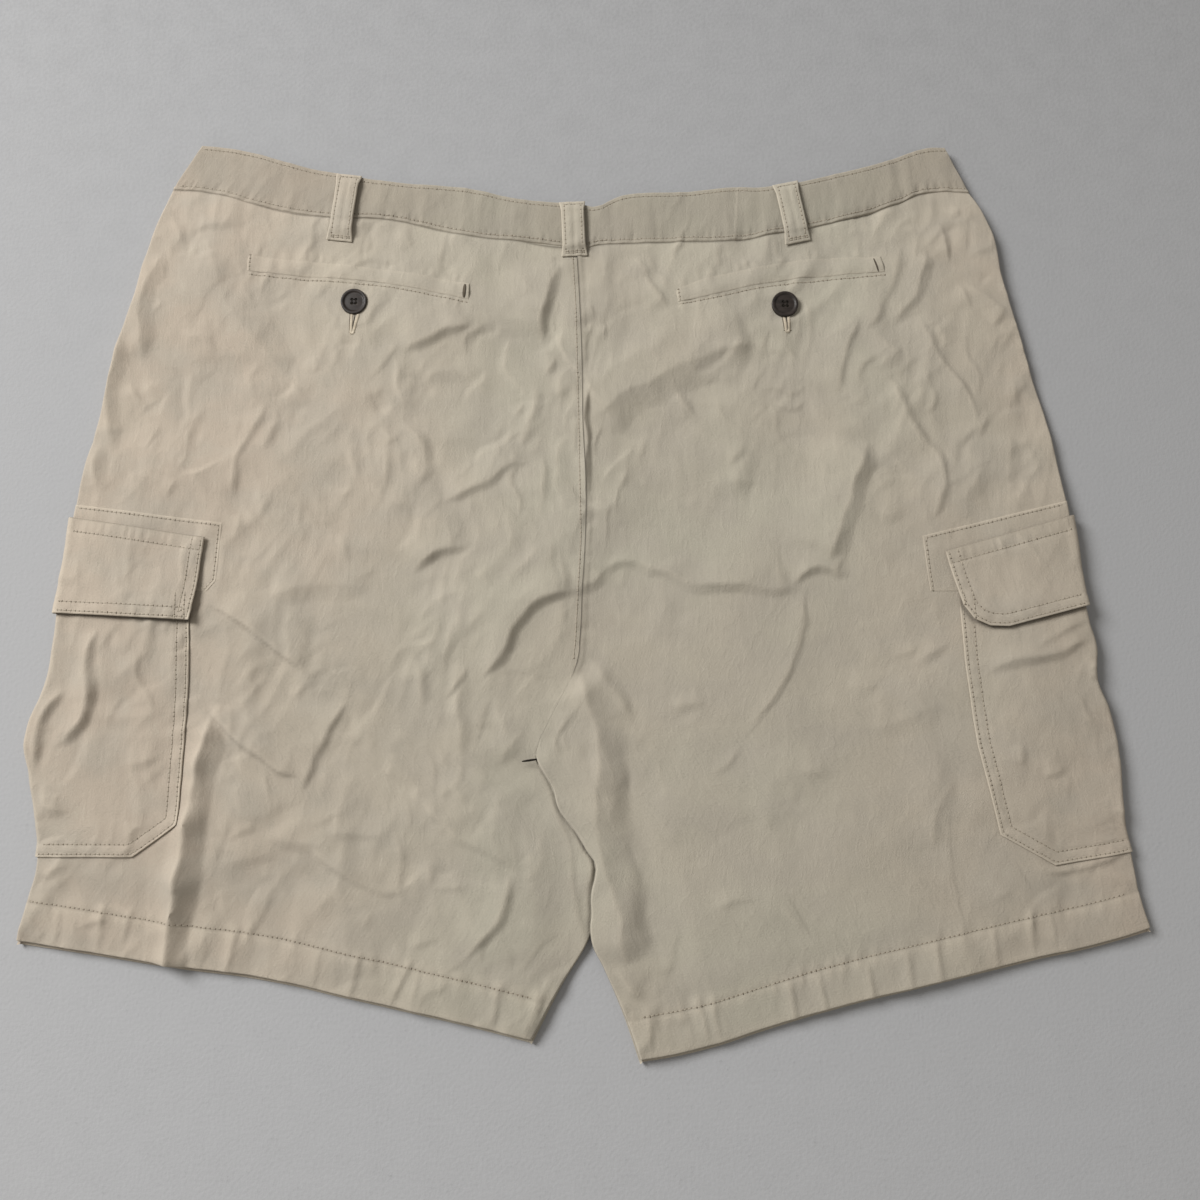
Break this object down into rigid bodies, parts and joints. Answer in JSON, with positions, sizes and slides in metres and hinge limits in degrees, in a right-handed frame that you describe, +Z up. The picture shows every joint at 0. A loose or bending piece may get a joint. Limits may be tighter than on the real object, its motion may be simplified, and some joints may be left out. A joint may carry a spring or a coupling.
{
  "type": "cargo shorts, laid flat",
  "caption": "Cotton twill cargo shorts lying flat with the back uppermost: waistband, belt loops, buttoned welt pockets, flapped cargo pockets and stitched hems.",
  "frame": {"origin": "on the surface the shorts lie on, under the middle of their outline", "axes": "+X across the waist towards the wearer's right, +Y from the hems towards the waistband, +Z up through the layers"},
  "size_m": [0.718, 0.6126, 0.0125],
  "materials": {
    "twill": "matt stone cotton twill with a soft washed surface",
    "button": "dark brown moulded resin, satin, with a polished rim"
  },
  "bodies": {
    "root": {"back_button_left": "button", "back_button_right": "button", "back_panel_left": "twill", "back_panel_right": "twill", "back_welt_left": "twill", "back_welt_right": "twill", "belt_loop_back_centre": "twill", "belt_loop_back_left": "twill", "belt_loop_back_right": "twill", "belt_loop_front_left": "twill", "belt_loop_front_right": "twill", "cargo_pocket_left": "twill", "cargo_pocket_right": "twill", "front_button": "button", "front_panel_left": "twill", "front_panel_right": "twill", "pocket_facing_left": "twill", "pocket_facing_right": "twill", "pocket_flap_left": "twill", "pocket_flap_right": "twill", "waistband_back": "twill", "waistband_front_left": "twill", "waistband_front_right": "twill"}
  },
  "joints": []
}
